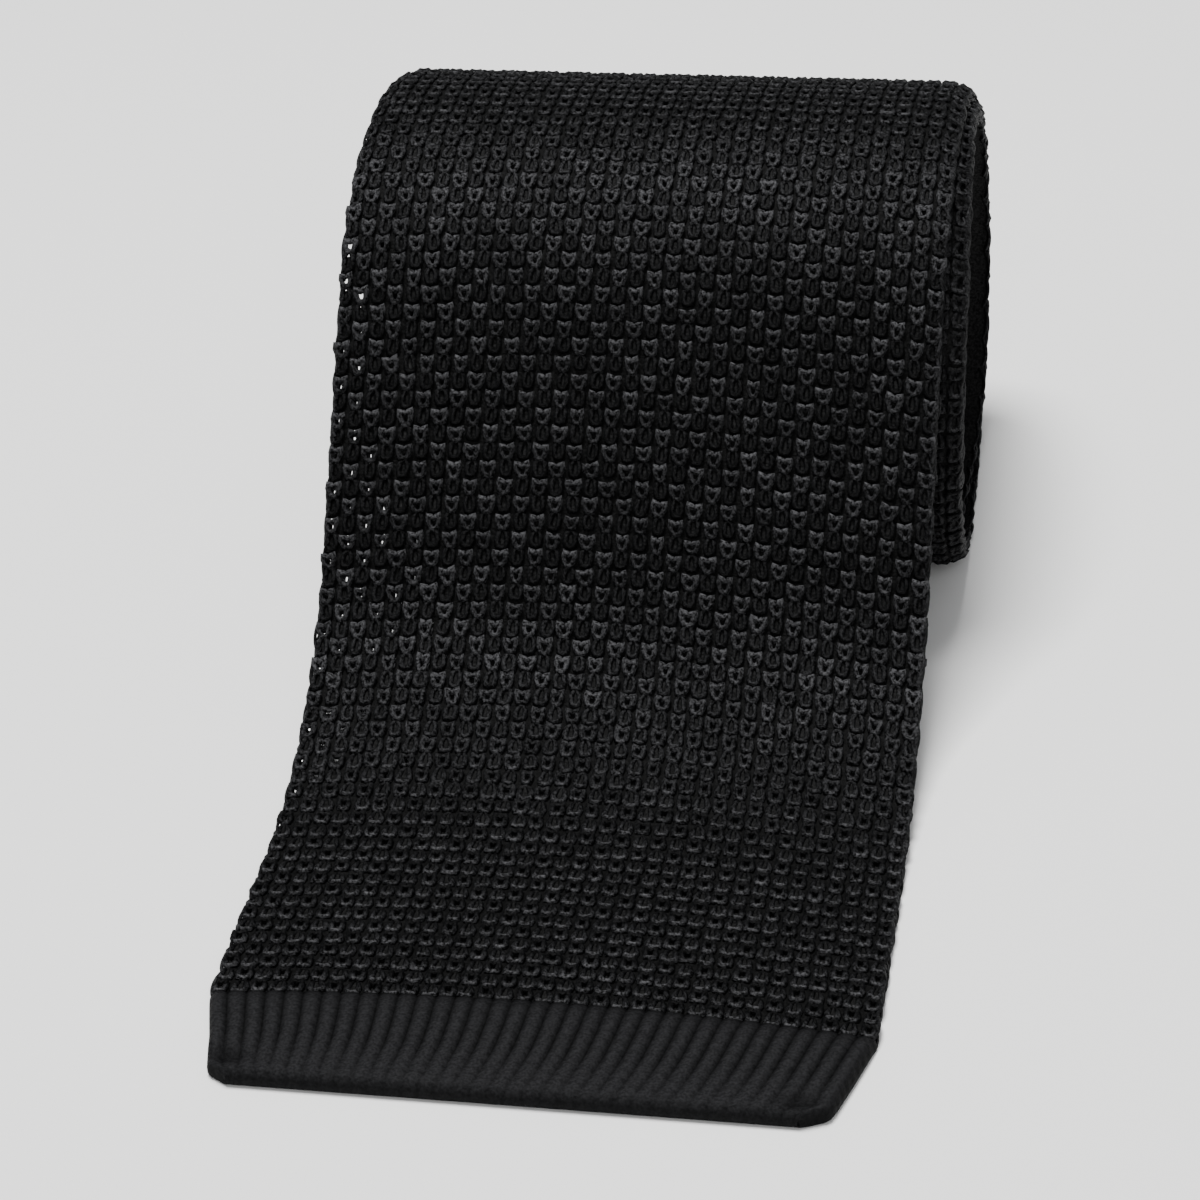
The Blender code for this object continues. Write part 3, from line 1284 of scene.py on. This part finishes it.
@dataclass
class Hem:
    """The square hem at the front: fine plain ribs, folded under, drawn in at its corners.

    Attributes:
        knit: the gauge.
        path: the tie's path.
        rows: rows of faces down the hem.
        row_power: how much closer they lie at its lower edge, 1 for evenly.
        columns: columns of faces for each rib.
        rib: height of the ribs.
        rib_power: how narrow the grooves between them are, less for narrower.
        rounding: radius of the rounded edges.
        under_rounding: the same at the lower face, as a share.
        seam_gap: gap between the hem and the loops.
        seam_dip: depth of the hollow along the seam.
        dip_reach: how far down the hollow reaches.
        shade_reach: how far down its painted shade reaches.
        corner_reach: how far in the corners' own inset reaches, as a share of the width.
        groove_tone: lightness of the grooves, painted shade.
        seam_shade: how much darker the seam is, as a share: painted shade in the hollow there.
        dent_shade: how much darker the dents are, as a share: painted shade.
        edge_shade: how much darker the rounded edges are, as a share: painted shade.
    """

    knit: Knit
    path: TiePath
    rows: int = 26
    row_power: float = 1.3
    columns: int = 8
    rib: float = 0.00030
    rib_power: float = 0.7
    rounding: float = 0.0009
    under_rounding: float = 0.35
    seam_gap: float = 0.0001
    seam_dip: float = 0.0007
    dip_reach: float = 0.0014
    shade_reach: float = 0.00084
    corner_reach: float = 0.03
    groove_tone: float = 0.1
    seam_shade: float = 0.5
    dent_shade: float = 0.6
    edge_shade: float = 0.5
    # share of the hem from its seam, share of the width taken off at the left and at the right
    insets: tuple = ((0, 0, 0), (0.5, 0.025, 0.026), (0.8, 0.036, 0.043), (1, 0.046, 0.058))
    # share of the hem from its seam, share of the width taken off at its left and right corners alone
    corners: tuple = ((0.9, 0, 0), (1, 0.028, 0.037))
    # share of the hem from its seam, how clear the ribs are there
    clearness: tuple = ((0, 0.8), (0.25, 1.0), (0.55, 1.0), (0.8, 0.6), (1, 0.3))
    # the folded corners' dents: share across, share of the hem from its seam, both reaches, depth in metres
    dents: tuple = ((0.035, 0.80, 0.035, 0.10, 0.0008), (0.95, 0.86, 0.03, 0.10, 0.0006))
    # share of the hem from its seam, how far the ribs lean to the left there, in wales
    lean: tuple = ((0, 0), (0.3, 0.05), (0.6, 0.25), (0.85, 0.55), (1, 0.8))

    def rounded(self, inside: np.ndarray) -> np.ndarray:
        """How far a rounded edge drops at each distance in from it."""
        left = np.clip(self.rounding - inside, 0.0, self.rounding)
        return self.rounding - np.sqrt(self.rounding**2 - left**2)

    def reaches(self, share: np.ndarray, at: np.ndarray) -> list[np.ndarray]:
        """How far the hem reaches from the blade's middle.

        Args:
            share: places across the hem, 0 at its left and 1 at its right.
            at: places down the hem, 0 at its seam and 1 at its lower edge.

        Returns:
            The reach to the left at each place, and the reach to the right.
        """
        found = []
        for column, inwards in ((1, share), (2, 1.0 - share)):
            corner = look_up(self.corners, column, at) * np.exp(-inwards / self.corner_reach)
            found.append(self.knit.width * (0.5 - look_up(self.insets, column, at) - corner))
        return found

    def hollows(self, share: np.ndarray, at: np.ndarray) -> tuple[np.ndarray, np.ndarray]:
        """The hollow along the seam and the dents at the corners.

        Args:
            share: places across the hem, 0 at its left and 1 at its right.
            at: places down the hem, 0 at its seam and 1 at its lower edge.

        Returns:
            Their depth at each place, and the lightness of their painted shade there as a share.
        """
        down = at * self.path.hem_length
        depth = self.seam_dip * np.exp(-down / self.dip_reach)
        lightness = 1.0 - self.seam_shade * np.exp(-down / self.shade_reach)
        for middle_share, middle_at, wide, long, deep in self.dents:
            dent = np.exp(-(((share - middle_share) / wide) ** 2) - ((at - middle_at) / long) ** 2)
            depth += deep * dent
            lightness -= self.dent_shade * dent
        return depth, lightness

    def build(self, finishes: Finishes) -> None:
        """Makes the hem.

        Args:
            finishes: the tie's materials.
        """
        knit, path = self.knit, self.path
        bpy.ops.mesh.primitive_grid_add(
            x_subdivisions=knit.wales * self.columns, y_subdivisions=self.rows, size=2.0
        )
        hem = bpy.context.object
        apply_modifier(hem, "SOLIDIFY", thickness=1.0, offset=-1.0)
        points = points_of(hem)
        upper = points[:, 2] > -0.5
        share = (points[:, 0] + 1.0) / 2
        at = 1.0 - ((points[:, 1] + 1.0) / 2) ** self.row_power
        groove = 1.0 - np.abs(np.sin(math.pi * share * knit.wales)) ** self.rib_power
        groove *= look_up(self.clearness, 1, at)
        left, right = self.reaches(share, at)
        crown = 1.0 - (2.0 * share - 1.0) ** 2
        x = path.middle_x - left + share * (left + right) - look_up(self.lean, 1, at) * knit.wale * crown
        y = path.seam_y - self.seam_gap - at * path.hem_length + path.bows[0][1] * (1.0 - at) * crown
        drop = self.rounded((1.0 - at) * path.hem_length)
        drop += self.rounded(np.minimum(share, 1.0 - share) * knit.width)
        depth, lightness = self.hollows(share, at)
        top = path.hem_thickness - drop - depth - self.rib * groove
        z = np.where(upper, top, FLOOR_CLEARANCE + self.under_rounding * drop)
        move_points(hem, np.column_stack([x, y, z]))
        # Painted shade on the rounded edges, at the seam, in the dents and in the grooves
        lightness *= 1.0 - self.edge_shade * np.clip(drop / self.rounding, 0.0, 1.0)
        set_tone(hem, lightness * (1.0 - (1.0 - self.groove_tone) * groove))
        dress(hem, "front_hem_ribs", "front_hem", finishes.ribs)


@dataclass
class InnerBand:
    """A band of the tie inside the roll, of which only the edges show at the roll's two ends.

    Attributes:
        knit: the gauge.
        path: the tie's path.
        node: the solid that it stands for.
        start: where it begins, in turns.
        end: where it stops, in turns.
        slot: the record's material slot, not used.
        thickness: the cloth's.
        row_turns: length of a row of faces, in turns.
    """

    knit: Knit
    path: TiePath
    node: str
    start: float
    end: float
    slot: str
    thickness: float
    row_turns: float = 10.0 / 360.0

    def build(self, finishes: Finishes) -> None:
        """Makes the band and the arcs along its edges.

        Args:
            finishes: the tie's materials.
        """
        path, knit = self.path, self.knit
        start, end = path.along_at(self.start), path.along_at(self.end)
        rows = math.ceil((self.end - self.start) / self.row_turns)
        band = Ground(knit, start, end, rows, self.thickness, columns=0).model(path)
        dress(band, self.node + "_cloth", self.node, finishes.ground)
        arcs = EdgeArcs(knit, start, end - 2 * knit.course, self.thickness).model(path)
        dress(arcs, self.node + "_edges", self.node, finishes.yarn)
        width = 2 * float(path.half_width(np.linspace(start, end, rows)).mean())


@dataclass
class Inside:
    """Everything further inside the roll than the front blade, from the neck band to the small hem.

    Attributes:
        knit: the gauge.
        path: the tie's path.
        blade_end: where the front blade ends, along the back face.
        neck_end: where the neck band ends, along the back face.
        seam_gap: gap between two bands.
    """

    knit: Knit
    path: TiePath
    blade_end: float = Blade.length
    neck_end: float = 0.880
    seam_gap: float = 0.0003

    def build(self, finishes: Finishes) -> None:
        """Makes the three bands.

        Args:
            finishes: the tie's materials.
        """
        path, knit = self.path, self.knit
        neck = path.turns_at(self.blade_end + self.seam_gap), path.turns_at(self.neck_end)
        tail_end = path.turns_at(path.back_length(path.last_turn) - path.hem_length)
        tail = path.turns_at(self.neck_end + self.seam_gap), tail_end
        hem = path.turns_at(path.back_length(tail_end) + self.seam_gap), path.last_turn
        bands = (
            InnerBand(knit, path, "neck_band", *neck, LOOP_SLOT, knit.thickness),
            InnerBand(knit, path, "tail_blade", *tail, LOOP_SLOT, knit.thickness),
            InnerBand(knit, path, "tail_hem", *hem, RIB_SLOT, path.hem_thickness),
        )
        for band in bands:
            band.build(finishes)


@dataclass(frozen=True)
class Lamp:
    """A soft square lamp.

    Attributes:
        name: the lamp's name.
        place: where it hangs.
        size: its side.
        power: in watts.
        aim: what it points at.
    """

    name: str
    place: tuple[float, float, float]
    size: float
    power: float
    aim: tuple[float, float, float] = (0.0, 0.0, 0.02)

    def hang(self) -> None:
        """Adds the lamp to the scene."""
        data = bpy.data.lights.new(self.name, "AREA")
        data.size = self.size
        data.energy = self.power
        made = bpy.data.objects.new(self.name, data)
        bpy.context.scene.collection.objects.link(made)
        made.location = self.place
        towards = Vector(self.aim) - Vector(self.place)
        made.rotation_euler = towards.to_track_quat("-Z", "Y").to_euler()


@dataclass(frozen=True)
class Studio:
    """Camera, lights and floor.

    Attributes:
        path: the tie's path.
        turn: how far round the camera stands from straight in front.
        rise: how steeply it looks down.
        tilt: how far it leans to its side.
        distance: from the point that it aims at.
        aim_across: x of that point, from the blade's middle.
        aim_z: its height.
        focal_pixels: focal length, in pixels of the photograph.
        image_pixels: width of the photograph.
        sensor: width of the sensor, in millimetres.
        nearest: nearest distance that it shows.
        lamps: the lamps.
        sky: colour of the light from all round.
        sky_strength: its strength.
        floor_size: side of the floor.
    """

    path: TiePath
    turn: float = math.radians(11.779)
    rise: float = math.radians(33.584)
    tilt: float = math.radians(-3.713)
    distance: float = 0.416161
    aim_across: float = -0.010715
    aim_z: float = -0.013657
    focal_pixels: float = 3464.8
    image_pixels: float = 1200.0
    sensor: float = 36.0
    nearest: float = 0.01
    lamps: tuple[Lamp, ...] = (
        Lamp("top_lamp", place=(-0.08, 0.03, 0.85), size=0.30, power=13.0),
        Lamp("front_lamp", place=(0.20, -0.80, 0.60), size=0.45, power=3.0),
    )
    sky: tuple[float, float, float, float] = (0.96, 0.97, 1.0, 1.0)
    sky_strength: float = 0.30
    floor_size: float = 6.0

    def camera(self) -> None:
        """Sets the camera where the photograph was taken from."""
        forward = math.cos(self.rise)
        back = Vector((math.sin(self.turn) * forward, -math.cos(self.turn) * forward, math.sin(self.rise)))
        aim = Vector((self.path.middle_x + self.aim_across, self.path.axis_y, self.aim_z))
        right = (-back).cross(Vector((0.0, 0.0, 1.0))).normalized()
        up = right.cross(-back)
        across = math.cos(self.tilt) * right + math.sin(self.tilt) * up
        upright = math.cos(self.tilt) * up - math.sin(self.tilt) * right
        lens = bpy.data.cameras.new("camera")
        lens.sensor_width = self.sensor
        lens.lens = self.focal_pixels / self.image_pixels * self.sensor
        lens.clip_start = self.nearest
        made = bpy.data.objects.new("camera", lens)
        bpy.context.scene.collection.objects.link(made)
        axes = Matrix((across, upright, back)).transposed().to_4x4()
        made.matrix_world = Matrix.Translation(aim + self.distance * back) @ axes
        bpy.context.scene.camera = made

    def build(self) -> None:
        """Makes the camera, the lamps, the light from all round and the floor."""
        self.camera()
        for lamp in self.lamps:
            lamp.hang()
        world = bpy.data.worlds.new("studio")
        world.use_nodes = True
        background = world.node_tree.nodes["Background"].inputs
        background["Color"].default_value = self.sky
        background["Strength"].default_value = self.sky_strength
        bpy.context.scene.world = world
        bpy.ops.object.select_all(action="DESELECT")
        bpy.ops.mesh.primitive_plane_add(size=self.floor_size, location=(0.0, 0.0, 0.0))
        floor = bpy.context.object
        floor.name = FLOOR_NAME
        floor.data.materials.append(FloorFinish().material())


def main() -> None:
    """Builds the tie's pieces in order, and then the studio round them."""
    logging.basicConfig(level=logging.INFO, format="%(name)s %(message)s")
    knit = Knit()
    path = TiePath.around(knit)
    finishes = Finishes.make()
    Hem(knit, path).build(finishes)
    Inside(knit, path).build(finishes)
    Blade(knit, path).build(finishes)
    Studio(path).build()


if __name__ == "__main__":
    main()
